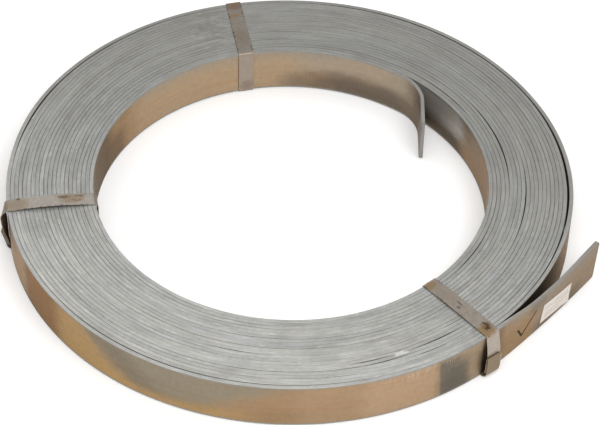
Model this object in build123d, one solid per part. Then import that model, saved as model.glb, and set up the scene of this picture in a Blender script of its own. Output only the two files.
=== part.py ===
from build123d import *
import math
import os

# Coil of galvanized flat steel strip lying on its side, tied by three steel straps.
# Millimetres, +Z up. The origin is on the axis of the first half turn, on the floor.

# Strip: 50 x 4 mm flat steel with a zinc coat; each lap's edge leans a little
strip_width = 50.0
strip_thickness = 4.0
zinc_coat = 0.05
edge_relief = 0.5

# Winding, counter-clockwise from the inner end to the outer end, seen from above
bore_radius = 196.0
inner_end_angle = 54.0
outer_end_angle = 317.5
full_turns = 20

# Free inner end: a bend away from the bore wall, then a straight run
inner_bend_radius = 46.0
inner_bend_turn = 54.0
inner_run_length = 35.0

# Free outer end: an open arc that stands away from the coil
outer_tail_radius = 1500.0
outer_tail_length = 142.0

# Tying straps: bands of thin steel round the wall of the coil
strap_width = 16.0
strap_thickness = 0.8
strap_clearance = 0.06
strap_bend_radius = 0.3
rear_angle = 104.0
left_angle = 191.0
front_angle = 312.2
rear_bow = 1.0
left_bow = 5.0
front_bow = 2.5

# Lock seam that closes each strap on the outer wall: two hooked ends in four layers
seam_height = 24.0
seam_hem = 10.0
seam_gap = 0.2
seam_tuck_gap = 1.0
fold_radius_share = 0.9
bow_foot_share = 0.18
bow_place_share = 0.5
bow_round_share = 0.5

# Paper label on the outer face of the free outer end
label_length = 47.0
label_height = 27.0
label_thickness = 0.2
label_glue = 0.2
label_from_tip = 69.0
label_above_edge = 19.0
label_tilt = 6.0

# Sizes that follow from the ones above
half_turn = math.degrees(math.pi)
lap = strip_thickness + 2 * zinc_coat
strap_seat = strap_clearance + strap_bend_radius * (1 - math.sqrt(1 / 2))
coil_bottom = strap_thickness + strap_seat
coil_top = coil_bottom + strip_width
second_angle = rear_angle + half_turn
second_centre = Vector(lap / 2, 0, 0).rotate(Axis.Z, rear_angle)
second_bore_radius = bore_radius + lap / 2
outer_lap_radius = second_bore_radius + full_turns * lap
inner_lap_radius = second_bore_radius - lap


def direction(angle):
    """Unit vector in plan at an angle from +X."""
    return Vector(1, 0, 0).rotate(Axis.Z, angle)


def laps_profile(inner_radius, first, laps):
    """Section of laps side by side, the lap numbered first at inner_radius.

    The strip's edges lean in and out in turn, so that every seam shows as a ridge or a valley.
    """
    seams = [(inner_radius + n * lap, edge_relief * ((first + n) % 2)) for n in range(laps + 1)]
    lower_edges = [(radius, coil_bottom + lean) for radius, lean in seams]
    upper_edges = [(radius, coil_top - lean) for radius, lean in reversed(seams)]
    return Plane.XZ * make_face(Polyline(*lower_edges, *upper_edges, close=True))


def turned_laps(centre, inner_radius, first, laps, start_angle, end_angle):
    """Laps turned about a vertical axis through centre, from start_angle to end_angle."""
    turned = revolve(laps_profile(inner_radius, first, laps), Axis.Z, end_angle - start_angle)
    return Pos(*centre) * Rot(0, 0, start_angle) * turned


def wound_coil():
    """The turns as two turned halves whose centres lie half a lap apart.

    The second half's laps start half a lap further out, so that each of them runs on into the
    next lap of the first half under the rear strap, and the seams make one spiral. The inner
    and outer laps of the second half cover only the angles that the strip's ends leave them.
    """
    turn_end = second_angle + half_turn
    first_half = turned_laps((0, 0, 0), bore_radius, 0, full_turns + 1, rear_angle, second_angle)
    second_half = turned_laps(
        second_centre, second_bore_radius, 0, full_turns, second_angle, turn_end
    )
    outer_lap = turned_laps(
        second_centre, outer_lap_radius, full_turns, 1, second_angle, outer_end_angle
    )
    inner_lap = turned_laps(
        second_centre, inner_lap_radius, -1, 1, inner_end_angle, rear_angle
    )
    return first_half + second_half + outer_lap + inner_lap


def inner_end():
    """The free inner end: bent off the bore wall, then straight across the bore."""
    bend_reach = inner_lap_radius - inner_bend_radius
    bend_centre = second_centre + direction(inner_end_angle) * bend_reach
    run_angle = inner_end_angle - inner_bend_turn
    bend = turned_laps(bend_centre, inner_bend_radius, -1, 1, run_angle, inner_end_angle)
    run = extrude(laps_profile(inner_bend_radius, -1, 1), inner_run_length)
    return bend + Pos(*bend_centre) * Rot(0, 0, run_angle) * run


def outer_end_centre():
    """Centre of the free outer end's arc, which leaves the last lap without a kink."""
    return second_centre + direction(outer_end_angle) * (outer_lap_radius - outer_tail_radius)


def outer_end():
    """The free outer end as an arc much more open than the coil."""
    tip_angle = outer_end_angle + math.degrees(outer_tail_length / outer_tail_radius)
    return turned_laps(
        outer_end_centre(), outer_tail_radius, full_turns, 1, outer_end_angle, tip_angle
    )


def strap_walls(angle):
    """Centre, bore radius and outer radius of the coil where a strap crosses it."""
    if angle < second_angle:
        return Vector(0, 0, 0), bore_radius, bore_radius + (full_turns + 1) * lap
    return second_centre, second_bore_radius, outer_lap_radius + lap


def strap(angle, bow):
    """One strap: a flat band once round the coil's wall, its ends hooked into each other.

    The line is the middle of the band. It starts at the tip of the upper end's hem, goes over
    the coil, through the bore and under it, and ends at the tip of the lower end's hem.
    """
    centre, wall_inside, wall_outside = strap_walls(angle)
    middle = strap_seat + strap_thickness / 2
    layer = strap_thickness + seam_gap
    bore_side = math.sqrt(wall_inside**2 - (strap_width / 2) ** 2) - middle
    outer_side = wall_outside + middle
    under = coil_bottom - middle
    over = coil_top + middle
    seam_top = coil_bottom + seam_height
    seam_bottom = seam_top - seam_hem - layer
    bow_start = seam_top + layer
    bow_foot = bow_start + (over - bow_start) * bow_foot_share
    bow_height = bow_foot + (over - bow_foot) * bow_place_share
    line_points = [
        (outer_side + 2 * layer, seam_top - layer - seam_tuck_gap),
        (outer_side + 2 * layer, seam_bottom),
        (outer_side, seam_bottom),
        (outer_side, bow_foot),
        (outer_side + bow, bow_height),
        (outer_side, over),
        (bore_side, over),
        (bore_side, under),
        (outer_side + 3 * layer, under),
        (outer_side + 3 * layer, seam_top),
        (outer_side + layer, seam_top),
        (outer_side + layer, seam_bottom + layer + seam_tuck_gap),
    ]
    fold = layer * fold_radius_share
    corner = strap_bend_radius + strap_thickness / 2
    bow_run = math.hypot(bow, bow_height - bow_foot)
    bow_slope = math.atan2(bow, bow_height - bow_foot)
    foot_radius = (bow_foot - bow_start) / math.tan(bow_slope / 2)
    bow_radius = bow_round_share * bow_run / math.tan(bow_slope)
    radii = [fold, fold, foot_radius, bow_radius, corner, corner, corner, corner, fold, fold]
    across = Plane(origin=centre, x_dir=direction(angle), z_dir=direction(angle - half_turn / 2))
    line = across * FilletPolyline(*line_points, radius=radii)
    section = Plane(origin=line @ 0, x_dir=across.z_dir, z_dir=line % 0)
    return sweep(section * Rectangle(strap_width, strap_thickness), path=line)


def label():
    """The label: a tilted rectangle cut from a thin shell that follows the free outer end."""
    inside = outer_tail_radius + lap + label_glue
    middle_height = coil_bottom + label_above_edge
    from_root = outer_tail_length - label_from_tip
    middle_angle = outer_end_angle + math.degrees(from_root / outer_tail_radius)
    reach = math.degrees(label_length / outer_tail_radius)
    shell_face = Plane.XZ * Pos(inside + label_thickness / 2, middle_height) * Rectangle(
        label_thickness, strip_width
    )
    shell = Rot(0, 0, middle_angle - reach) * revolve(shell_face, Axis.Z, 2 * reach)
    outline = Pos(inside, 0, middle_height) * Rot(-label_tilt, 0, 0) * Box(
        lap, label_length, label_height
    )
    return Pos(*outer_end_centre()) * (shell & Rot(0, 0, middle_angle) * outline)


straps = {
    "strap_rear": strap(rear_angle, rear_bow),
    "strap_left": strap(left_angle, left_bow),
    "strap_front": strap(front_angle, front_bow),
}
pieces = {"strip_coil": wound_coil() + inner_end() + outer_end(), **straps, "label": label()}
os.makedirs("parts", exist_ok=True)
for node, piece in pieces.items():
    export_step(piece, f"parts/{node}.step")
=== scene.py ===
"""Looks of a coil of galvanized steel strip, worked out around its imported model.

The strip is one long bar swept along its own winding, tied by three steel straps, with a paper
label on its free outer end. Sizes are in millimetres and angles in degrees, counter-clockwise
from +X seen from above. Meshes are written in metres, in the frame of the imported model.
"""

import logging
import math
from dataclasses import dataclass, field
from enum import Enum
from typing import Any, Optional, Sequence, Union

import bpy
import numpy as np
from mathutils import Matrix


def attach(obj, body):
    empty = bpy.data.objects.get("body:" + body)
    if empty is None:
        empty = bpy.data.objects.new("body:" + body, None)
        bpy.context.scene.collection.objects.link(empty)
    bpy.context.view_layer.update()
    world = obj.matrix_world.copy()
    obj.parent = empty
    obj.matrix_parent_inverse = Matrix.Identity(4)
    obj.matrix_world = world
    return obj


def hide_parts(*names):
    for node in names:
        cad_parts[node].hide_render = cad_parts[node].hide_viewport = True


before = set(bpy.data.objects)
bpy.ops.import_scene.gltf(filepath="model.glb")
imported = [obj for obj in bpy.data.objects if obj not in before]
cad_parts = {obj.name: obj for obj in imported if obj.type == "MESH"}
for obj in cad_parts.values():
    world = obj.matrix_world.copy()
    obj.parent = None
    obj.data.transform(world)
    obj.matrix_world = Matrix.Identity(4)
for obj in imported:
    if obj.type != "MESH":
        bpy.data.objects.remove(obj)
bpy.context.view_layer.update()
MM = 0.001
PER_METRE = 1000.0
BODY = "root"
TEXTURE_MAP = "OFBake"
log = logging.getLogger("coil")

Colour = tuple[float, float, float]
Span = tuple[float, float]


class Slot(Enum):
    """Material slots of the record."""

    STRIP = "galvanized_strip"
    STRAP = "strap_steel"
    LABEL = "label_paper"


class Side(Enum):
    """Sides round a bar's section: number of the first face, then how many faces there are.

    A corner has three faces, and an edge takes in the corners at its two ends.
    """

    OUTER = (3, 1)
    LOWER_EDGE = (4, 7)
    INNER = (11, 1)
    UPPER_EDGE = (12, 7)


class Mark(Enum):
    """Values that a mesh carries for its finish."""

    TURN = "turn_angle"
    ALONG = "along"
    ACROSS = "across"
    EDGE = "edge"
    DEEP = "deep"


def linear(red: float, green: float, blue: float) -> Colour:
    """Turns a display colour, 0 to 255 in each part, into linear light by the sRGB curve.

    Args:
        red: Red part.
        green: Green part.
        blue: Blue part.

    Returns:
        The three linear parts, 0 to 1.
    """
    shares = np.array((red, green, blue)) / 255.0
    light = np.where(shares <= 0.04045, shares / 12.92, ((shares + 0.055) / 1.055) ** 2.4)
    return tuple(float(part) for part in light)


def plan_direction(angles: np.ndarray) -> np.ndarray:
    """Gives unit vectors in plan, the cosine and the sine of each angle.

    Args:
        angles: Angles in degrees, of any shape.

    Returns:
        An array with one more axis, of length two.
    """
    turned = np.radians(angles)
    return np.stack((np.cos(turned), np.sin(turned)), axis=-1)


def ease(low: float, high: float, values: np.ndarray) -> np.ndarray:
    """Rises smoothly from 0 at low to 1 at high, as 3t^2 - 2t^3.

    Args:
        low: Value where the rise starts.
        high: Value where it ends.
        values: Values to ease.

    Returns:
        Shares between 0 and 1.
    """
    share = np.clip((values - low) / (high - low), 0.0, 1.0)
    return share * share * (3.0 - 2.0 * share)


def bump_window(middle: float, half: float, values: np.ndarray) -> np.ndarray:
    """Gives a smooth hump, 1 at the middle and 0 from half away, as a raised cosine.

    Args:
        middle: Where the hump stands.
        half: Half of its whole length.
        values: Places along it.

    Returns:
        Heights between 0 and 1.
    """
    away = np.clip(np.abs(values - middle) / half, 0.0, 1.0)
    return 0.5 + 0.5 * np.cos(np.pi * away)


def drift(places: np.ndarray, spacing: float, seed: int) -> np.ndarray:
    """Gives smooth random values, eased between random knots a fixed spacing apart.

    Args:
        places: Places along a line.
        spacing: Distance from one knot to the next.
        seed: Start of the random numbers.

    Returns:
        Values between -1 and 1.
    """
    steps = (places - places.min()) / spacing
    knots = np.random.default_rng(seed).uniform(-1.0, 1.0, int(steps.max()) + 2)
    first = np.floor(steps).astype(int)
    share = ease(0.0, 1.0, steps - first)
    return knots[first] * (1.0 - share) + knots[first + 1] * share


def rounded_path(corners: np.ndarray, radii: Sequence[float], arc_steps: int,
                 run_step: float) -> np.ndarray:
    """Gives points along straight runs joined by tangent arcs.

    An arc starts and ends at radius / tan(half the corner's angle) from its corner, and its
    points turn evenly from the first radius to the last.

    Args:
        corners: Corner points of the path, ends included.
        radii: Radius at each corner between the ends.
        arc_steps: Steps along each arc.
        run_step: About the length of a step along a run.

    Returns:
        The points in order, as an array of pairs.
    """
    points = [corners[:1]]
    turns = np.linspace(0.0, 1.0, arc_steps + 1)[:, None]
    for here, before, after, radius in zip(corners[1:-1], corners[:-2], corners[2:], radii):
        back = (before - here) / np.linalg.norm(before - here)
        ahead = (after - here) / np.linalg.norm(after - here)
        half = 0.5 * math.acos(float(np.clip(back @ ahead, -1.0, 1.0)))
        middle = back + ahead
        centre = here + middle / np.linalg.norm(middle) * radius / math.sin(half)
        first = here + back * radius / math.tan(half) - centre
        last = here + ahead * radius / math.tan(half) - centre
        swing = math.pi - 2.0 * half
        arc = (np.sin((1.0 - turns) * swing) * first + np.sin(turns * swing) * last) / math.sin(swing)
        points.append(run_points(points[-1][-1], centre + first, run_step))
        points.append(centre + arc)
    points.append(run_points(points[-1][-1], corners[-1], run_step))
    points.append(corners[-1:])
    return np.concatenate(points)


def run_points(start: np.ndarray, end: np.ndarray, step: float) -> np.ndarray:
    """Gives evenly spaced points between two points, without the two.

    Args:
        start: First end.
        end: Other end.
        step: About the length of a step.

    Returns:
        The points in order.
    """
    count = max(1, int(round(float(np.linalg.norm(end - start)) / step)))
    shares = np.arange(1, count)[:, None] / count
    return start + (end - start) * shares


@dataclass(frozen=True)
class BarSection:
    """Section of a flat bar with elliptical corners.

    Attributes:
        first: Size along the section's first axis.
        second: Size along its second axis.
        first_corner: Corner's reach along the first axis.
        second_corner: Corner's reach along the second axis.
        corner_steps: Steps round each corner.
    """

    first: float
    second: float
    first_corner: float
    second_corner: float
    corner_steps: int = 3

    def outline(self) -> tuple[np.ndarray, np.ndarray]:
        """Works out the outline, four quarter ellipses about the four corner centres.

        Returns:
            The points and their outward normals, counter-clockwise, as arrays of pairs.
        """
        quarter = np.linspace(0.0, 90.0, self.corner_steps + 1)
        turned = plan_direction((np.arange(4)[:, None] * 90.0 + quarter).ravel())
        signs = np.repeat(np.array(((1, 1), (-1, 1), (-1, -1), (1, -1))), quarter.size, axis=0)
        reach = np.array((self.first_corner, self.second_corner))
        half = np.array((self.first, self.second)) / 2.0
        normals = turned / reach
        normals /= np.linalg.norm(normals, axis=1, keepdims=True)
        return signs * (half - reach) + turned * reach, normals


@dataclass
class Sweep:
    """A section carried along a path: each path point has its own two section axes.

    The first axis, the second axis and the way along the path make a right-handed set.

    Attributes:
        points: Path points, in three dimensions.
        first: Unit vector of the section's first axis at each point.
        second: Unit vector of its second axis at each point.
        section: Section points.
        normals: Section normals.
    """

    points: np.ndarray
    first: np.ndarray
    second: np.ndarray
    section: np.ndarray
    normals: np.ndarray

    def grid(self) -> np.ndarray:
        """Works out every surface point, path point + a * first axis + b * second axis."""
        return self._carried(self.section) + self.points[:, None, :]

    def grid_normals(self) -> np.ndarray:
        """Works out every surface normal from the section's normals."""
        return self._carried(self.normals)

    def _carried(self, pairs: np.ndarray) -> np.ndarray:
        """Sets section pairs out on the axes of every path point."""
        along_first = self.first[:, None, :] * pairs[None, :, :1]
        return along_first + self.second[:, None, :] * pairs[None, :, 1:]


@dataclass
class Surface:
    """A closed tube of quads with flat ends, as whole arrays.

    Attributes:
        name: Name of the piece.
        grid: Points in millimetres, stations by places round the section.
        normals: Normals of the same shape.
        marks: Values for the finish, one of each kind at every point.
        layout: Places of the face corners in a texture, if they are given.
    """

    name: str
    grid: np.ndarray
    normals: np.ndarray
    marks: dict[Mark, np.ndarray] = field(default_factory=dict)
    layout: Optional[np.ndarray] = None

    def corner_indices(self) -> np.ndarray:
        """Numbers the corners of the quads: this and the next station, this and the next place.

        Returns:
            Four point numbers for each quad.
        """
        stations, places = self.grid.shape[:2]
        numbers = np.arange(stations * places).reshape(stations, places)
        onward = np.roll(numbers, -1, axis=1)
        quads = np.stack((numbers[:-1], onward[:-1], onward[1:], numbers[1:]), axis=-1)
        return quads.reshape(-1, 4)

    def build(self) -> bpy.types.Object:
        """Writes the mesh with its normals, its marks and its texture layout.

        Returns:
            The linked object, at the origin.
        """
        stations, places = self.grid.shape[:2]
        quads = self.corner_indices()
        start_cap = np.arange(places)[::-1]
        end_cap = np.arange(places) + (stations - 1) * places
        corners = np.concatenate((quads.ravel(), start_cap, end_cap))
        sizes = np.concatenate((np.full(len(quads), 4), (places, places)))
        mesh = bpy.data.meshes.new(self.name)
        mesh.vertices.add(stations * places)
        mesh.vertices.foreach_set("co", (self.grid * MM).astype(np.float32).ravel())
        mesh.loops.add(len(corners))
        mesh.loops.foreach_set("vertex_index", corners.astype(np.int32))
        mesh.polygons.add(len(sizes))
        starts = np.concatenate(((0,), np.cumsum(sizes)[:-1]))
        mesh.polygons.foreach_set("loop_start", starts.astype(np.int32))
        smooth = np.ones(len(sizes), dtype=bool)
        smooth[-2:] = False
        mesh.polygons.foreach_set("use_smooth", smooth)
        mesh.update(calc_edges=True)
        mesh.validate()
        self._write_normals(mesh, corners, len(quads) * 4)
        for mark, values in self.marks.items():
            layer = mesh.attributes.new(mark.value, "FLOAT", "POINT")
            spread = np.broadcast_to(values, (stations, places))
            layer.data.foreach_set("value", spread.astype(np.float32).ravel())
        if self.layout is not None:
            texture_map = mesh.uv_layers.new(name=TEXTURE_MAP)
            texture_map.data.foreach_set("uv", self.layout.astype(np.float32).ravel())
        piece = bpy.data.objects.new(self.name, mesh)
        bpy.context.scene.collection.objects.link(piece)
        return piece

    def _write_normals(self, mesh: bpy.types.Mesh, corners: np.ndarray, quad_corners: int) -> None:
        """Gives the quads' corners their worked-out normals and leaves the ends flat.

        Args:
            mesh: Mesh to write to.
            corners: Point number of every face corner.
            quad_corners: How many of the corners belong to quads.
        """
        normals = self.normals.reshape(-1, 3)[corners].copy()
        places = self.grid.shape[1]
        start, end = normals[quad_corners:quad_corners + places], normals[quad_corners + places:]
        way = self.grid[1].mean(axis=0) - self.grid[0].mean(axis=0)
        start[:] = -way / np.linalg.norm(way)
        way = self.grid[-1].mean(axis=0) - self.grid[-2].mean(axis=0)
        end[:] = way / np.linalg.norm(way)
        mesh.normals_split_custom_set(normals)


Number = Union[float, "Value"]


class Value:
    """A number socket of a material: operators on it add Math nodes."""

    def __init__(self, graph: "Graph", socket: bpy.types.NodeSocket) -> None:
        """Wraps a socket.

        Args:
            graph: Graph that the socket is in.
            socket: Output socket.
        """
        self.graph = graph
        self.socket = socket

    def _maths(self, operation: str, *numbers: Number) -> "Value":
        """Adds one Math node on the given numbers."""
        return self.graph.node("ShaderNodeMath", {"operation": operation}, dict(enumerate(numbers)))

    def __add__(self, other: Number) -> "Value":
        """Adds."""
        return self._maths("ADD", self, other)

    def __radd__(self, other: Number) -> "Value":
        """Adds to a number."""
        return self._maths("ADD", other, self)

    def __sub__(self, other: Number) -> "Value":
        """Takes away."""
        return self._maths("SUBTRACT", self, other)

    def __rsub__(self, other: Number) -> "Value":
        """Is taken away from a number."""
        return self._maths("SUBTRACT", other, self)

    def __mul__(self, other: Number) -> "Value":
        """Multiplies."""
        return self._maths("MULTIPLY", self, other)

    def __rmul__(self, other: Number) -> "Value":
        """Multiplies a number."""
        return self._maths("MULTIPLY", other, self)

    def __truediv__(self, other: Number) -> "Value":
        """Divides."""
        return self._maths("DIVIDE", self, other)

    def __rtruediv__(self, other: Number) -> "Value":
        """Divides a number."""
        return self._maths("DIVIDE", other, self)

    def __pow__(self, other: Number) -> "Value":
        """Raises to a power."""
        return self._maths("POWER", self, other)

    def __rpow__(self, other: Number) -> "Value":
        """Is the power of a number."""
        return self._maths("POWER", other, self)

    def __abs__(self) -> "Value":
        """Drops the sign."""
        return self._maths("ABSOLUTE", self)

    def least(self, other: Number) -> "Value":
        """Takes the smaller of two."""
        return self._maths("MINIMUM", self, other)

    def most(self, other: Number) -> "Value":
        """Takes the larger of two."""
        return self._maths("MAXIMUM", self, other)

    def ease(self, low: float, high: float, start: float = 0.0, end: float = 1.0) -> "Value":
        """Goes smoothly from start at low to end at high.

        Args:
            low: Value where the change starts.
            high: Value where it ends.
            start: Result up to low.
            end: Result from high on.

        Returns:
            The eased value.
        """
        settings = {"interpolation_type": "SMOOTHSTEP"}
        return self.graph.node("ShaderNodeMapRange", settings,
                               {"Value": self, "From Min": low, "From Max": high,
                                "To Min": start, "To Max": end})

    def within(self, low: float, high: float, soft: float) -> "Value":
        """Is 1 from low to high and 0 outside, with soft ends.

        Args:
            low: Lower end.
            high: Upper end.
            soft: Half of the length of each end's change.

        Returns:
            A mask between 0 and 1.
        """
        return self.ease(low - soft, low + soft) * self.ease(high - soft, high + soft, 1.0, 0.0)


class Graph:
    """Nodes of one material or world."""

    def __init__(self, tree: bpy.types.NodeTree) -> None:
        """Starts on an emptied tree.

        Args:
            tree: Node tree to fill.
        """
        self.tree = tree
        tree.nodes.clear()

    def node(self, kind: str, settings: dict[str, Any], inputs: dict[Any, Any],
             output: Union[int, str] = 0) -> Value:
        """Adds a node.

        Args:
            kind: Blender's name of the node's type.
            settings: Attributes of the node, set first.
            inputs: Values or links of its sockets, by name or number.
            output: Output that is wanted.

        Returns:
            The wanted output.
        """
        made = self.tree.nodes.new(kind)
        for name, setting in settings.items():
            setattr(made, name, setting)
        for key, value in inputs.items():
            if isinstance(value, Value):
                self.tree.links.new(value.socket, made.inputs[key])
            else:
                made.inputs[key].default_value = value
        socket = made.outputs[output] if made.outputs else None
        return Value(self, socket)

    def mark(self, mark: Mark) -> Value:
        """Reads a value that the mesh carries."""
        return self.node("ShaderNodeAttribute", {"attribute_name": mark.value}, {}, "Fac")

    def place(self) -> Value:
        """Reads Object coordinates, in metres."""
        return self.node("ShaderNodeTexCoord", {}, {}, "Object")

    def ray(self, kind: str) -> Value:
        """Tells whether a ray is of a kind, by Light Path's name of it."""
        return self.node("ShaderNodeLightPath", {}, {}, kind)

    def vector(self, x: Number, y: Number, z: Number = 0.0) -> Value:
        """Joins three numbers to a vector."""
        return self.node("ShaderNodeCombineXYZ", {}, {"X": x, "Y": y, "Z": z})

    def noise(self, place: Value, scale: float, detail: float = 2.0, rough: float = 0.5) -> Value:
        """Adds a noise pattern, about 0.5 on average.

        Args:
            place: Coordinates that it reads.
            scale: Repeats in each unit of those.
            detail: Finer layers.
            rough: Strength of the finer layers.

        Returns:
            The pattern's value.
        """
        inputs = {"Vector": place, "Scale": scale, "Detail": detail, "Roughness": rough}
        return self.node("ShaderNodeTexNoise", {"noise_dimensions": "3D"}, inputs, "Fac")

    def streaks(self, x: Number, y: Number, z: Number = 0.0, detail: float = 2.0,
                rough: float = 0.5) -> Value:
        """Adds a noise pattern on three numbers, each already scaled to its repeats.

        Args:
            x: First number.
            y: Second number.
            z: Third number.
            detail: Finer layers.
            rough: Strength of the finer layers.

        Returns:
            The pattern's value.
        """
        return self.noise(self.vector(x, y, z), 1.0, detail, rough)

    def mix(self, share: Number, below: Any, above: Any, blend: str = "MIX") -> Value:
        """Mixes two colours.

        Args:
            share: How much of the second shows.
            below: First colour, three linear parts or a link.
            above: Second colour.
            blend: Kind of blend.

        Returns:
            The mixed colour.
        """
        settings = {"data_type": "RGBA", "blend_type": blend, "clamp_factor": True}
        colours = [c if isinstance(c, Value) else (*c, 1.0) for c in (below, above)]
        return self.node("ShaderNodeMix", settings, {0: share, 6: colours[0], 7: colours[1]}, 2)

    def bump(self, height: Value, strength: float, distance: float) -> Value:
        """Turns a height into a normal.

        Args:
            height: Height pattern.
            strength: Share of the effect.
            distance: Height in metres of a step of 1.

        Returns:
            The normal.
        """
        inputs = {"Strength": strength, "Distance": distance, "Height": height}
        return self.node("ShaderNodeBump", {}, inputs, "Normal")

    def surface(self, inputs: dict[str, Any]) -> None:
        """Ends the graph with a Principled surface.

        Args:
            inputs: Its sockets.
        """
        shader = self.node("ShaderNodeBsdfPrincipled", {}, inputs)
        self.node("ShaderNodeOutputMaterial", {}, {"Surface": shader})


def new_material(name: str) -> tuple[bpy.types.Material, Graph]:
    """Starts a material.

    Args:
        name: Its name.

    Returns:
        The material and its empty graph.
    """
    material = bpy.data.materials.new(name)
    material.use_nodes = True
    return material, Graph(material.node_tree)


@dataclass(frozen=True)
class Patch:
    """A stain or bare place on the strip's wide faces.

    Attributes:
        start: Turn angle where it starts.
        end: Turn angle where it ends.
        colour: Its colour.
        strength: How much of it shows.
        soft: Half of the change at its ends, in degrees.
        low: Lower limit, as a share of the strip's width.
        high: Upper limit.
        soft_height: Half of the change at its limits, as a share of the width.
        start_lean: How much later it starts at the upper edge than at the lower one.
        end_lean: How much later it ends there.
        end_soft: Half of the change at its end, if other than at its start.
        rag: How ragged its ends are, in shares of their change.
        rag_height: How ragged its limits are, as a share of the width.
    """

    start: float
    end: float
    colour: Colour
    strength: float
    soft: float
    low: float = -1.0
    high: float = 2.0
    soft_height: float = 0.08
    start_lean: float = 0.0
    end_lean: float = 0.0
    end_soft: float = 0.0
    rag: float = 1.6
    rag_height: float = 0.16

    def mask(self, turn: Value, across: Value, ragged: Value) -> Value:
        """Marks the patch: between its two leaning ends and its two limits, with ragged rims.

        Args:
            turn: Turn angle.
            across: Place across the strip, 0 to 1.
            ragged: Noise about 0.

        Returns:
            A mask between 0 and 1.
        """
        last = self.end_soft or self.soft
        starts = turn + ragged * (self.soft * self.rag) - across * self.start_lean
        ends = turn + ragged * (last * self.rag) - across * self.end_lean
        mask = starts.ease(self.start - self.soft, self.start + self.soft)
        mask = mask * ends.ease(self.end + last, self.end - last)
        if self.low > 0.0 or self.high < 1.0:
            height = across + ragged * self.rag_height
            mask = mask * height.within(self.low, self.high, self.soft_height)
        return mask


@dataclass(frozen=True)
class Stroke:
    """A straight stroke of a felt pen.

    Attributes:
        start: First end, as a pair along and across the strip.
        end: Other end.
        half_width: Half of its width.
        blur: Half of the change at its rim.
    """

    start: Span
    end: Span
    half_width: float
    blur: float = 0.35

    def mask(self, along: Value, across: Value) -> Value:
        """Marks the points whose distance from the stroke's line is less than half its width.

        Args:
            along: Place along, in the stroke's units.
            across: Place across.

        Returns:
            A mask between 0 and 1.
        """
        run = self.end[0] - self.start[0]
        rise = self.end[1] - self.start[1]
        from_along = along - self.start[0]
        from_across = across - self.start[1]
        share = (from_along * run + from_across * rise) / (run * run + rise * rise)
        share = share.most(0.0).least(1.0)
        away_along = from_along - share * run
        away_across = from_across - share * rise
        away = (away_along * away_along + away_across * away_across) ** 0.5
        return away.ease(self.half_width + self.blur, self.half_width - self.blur)


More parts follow.
